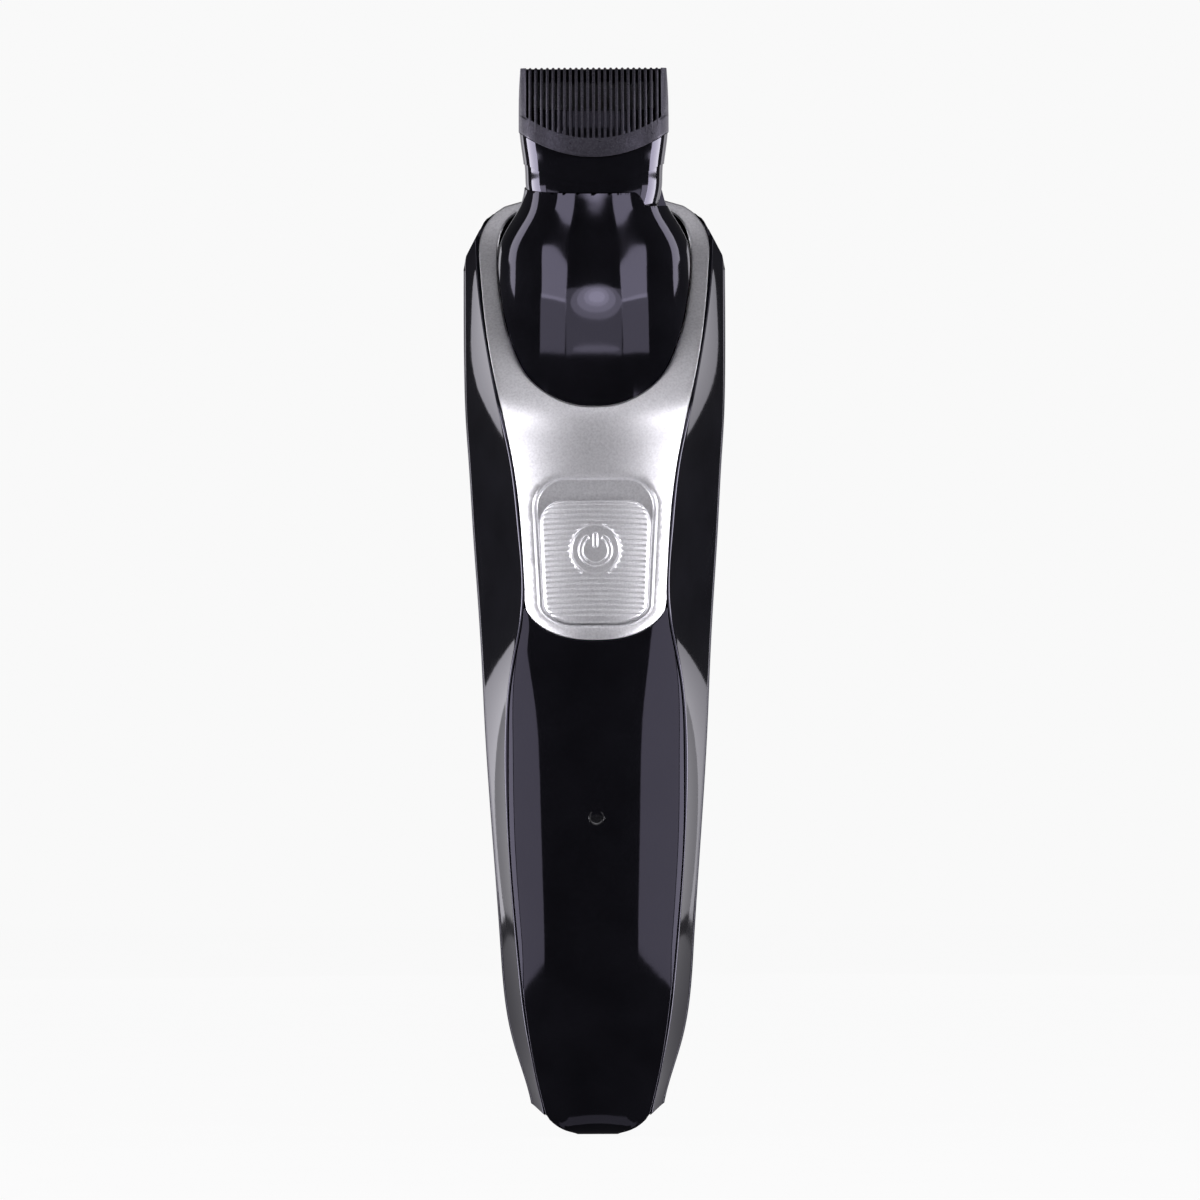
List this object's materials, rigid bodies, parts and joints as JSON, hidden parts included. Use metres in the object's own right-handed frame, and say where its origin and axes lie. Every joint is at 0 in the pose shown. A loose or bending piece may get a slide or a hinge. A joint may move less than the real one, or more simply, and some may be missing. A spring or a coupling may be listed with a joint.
{
  "type": "hair clipper",
  "caption": "Cordless hair clipper with a waisted body, silver faceplate, sliding thumb switch, push-fit cutting head and a ribbed guide comb.",
  "frame": {"origin": "centre of the charging socket's mouth, in the foot", "axes": "+Z from the foot up to the comb, -Y out of the switch side, +X to the right seen from the switch side"},
  "size_m": [0.0422, 0.034, 0.1704],
  "materials": {
    "silver_satin": "satin metallic paint with fine flake",
    "gloss_black": "polished black ABS",
    "matte_black": "matte moulded black",
    "comb_black": "fine matte moulded grey-black",
    "smoke_lens": "smoked light pipe",
    "steel": "ground steel",
    "bright_steel": "plated steel",
    "brass": "brass",
    "board_green": "solder mask",
    "chip_black": "moulded epoxy",
    "cell_wrap": "shrink wrap",
    "nylon_white": "natural nylon",
    "rubber_black": "soft rubber",
    "wire_red": "insulation",
    "wire_black": "insulation"
  },
  "bodies": {
    "housing": {"silver_faceplate": "silver_satin", "front_panel": "gloss_black", "front_frame": "gloss_black", "rear_shell": "gloss_black", "housing_screws": "bright_steel", "neck_bell": "gloss_black", "shaft_seal": "rubber_black", "slide_switch": "bright_steel", "circuit_board": "board_green", "charge_chip": "chip_black", "power_inductor": "chip_black", "status_led": "nylon_white", "light_pipe": "smoke_lens", "battery_cell": "cell_wrap", "battery_tabs": "bright_steel", "charge_jack": "matte_black", "jack_centre_pin": "brass", "jack_terminals": "brass", "red_wires": "wire_red", "black_wires": "wire_black", "motor_can": "steel", "motor_end_cap": "nylon_white", "motor_terminals": "brass", "motor_damper": "rubber_black", "motor_bracket": "matte_black", "motor_screws": "bright_steel"},
    "thumb_switch": {"switch_button": "silver_satin", "switch_carriage": "nylon_white", "switch_slider": "nylon_white"},
    "rotor": {"motor_shaft": "bright_steel", "eccentric_cam": "nylon_white", "cam_pin": "bright_steel"},
    "head": {"head_shell": "gloss_black", "head_base": "gloss_black", "fixed_blade": "steel", "blade_screws": "bright_steel", "blade_spring": "bright_steel", "lever_pin": "bright_steel"},
    "lever": {"drive_lever": "nylon_white"},
    "cutter": {"moving_blade": "steel", "blade_carrier": "nylon_white"},
    "comb": {"comb_guard": "comb_black"}
  },
  "joints": [
    {"name": "switch_slide", "type": "slide", "parent": "housing", "child": "thumb_switch", "axis": [0, 0, 1], "range_m": [0, 0.003]},
    {"name": "motor_spin", "type": "hinge", "parent": "housing", "child": "rotor", "pos_m": [0, 0, 0.12], "axis": [0, 0, 1], "continuous": true},
    {"name": "head_lift", "type": "slide", "parent": "housing", "child": "head", "axis": [0, 0, 1], "range_m": [0, 0.02]},
    {"name": "lever_swing", "type": "hinge", "parent": "head", "child": "lever", "pos_m": [0, -0.0008, 0.1576], "axis": [0, 1, 0], "range_deg": [-9, 9]},
    {"name": "blade_slide", "type": "slide", "parent": "head", "child": "cutter", "axis": [1, 0, 0], "range_m": [-0.0008, 0.0008]},
    {"name": "comb_lift", "type": "slide", "parent": "head", "child": "comb", "axis": [0, 0, 1], "range_m": [0, 0.018]}
  ],
  "couplings": [
    {"joint": "lever_swing", "follows": "blade_slide", "rad_per_m": 192.3}
  ]
}
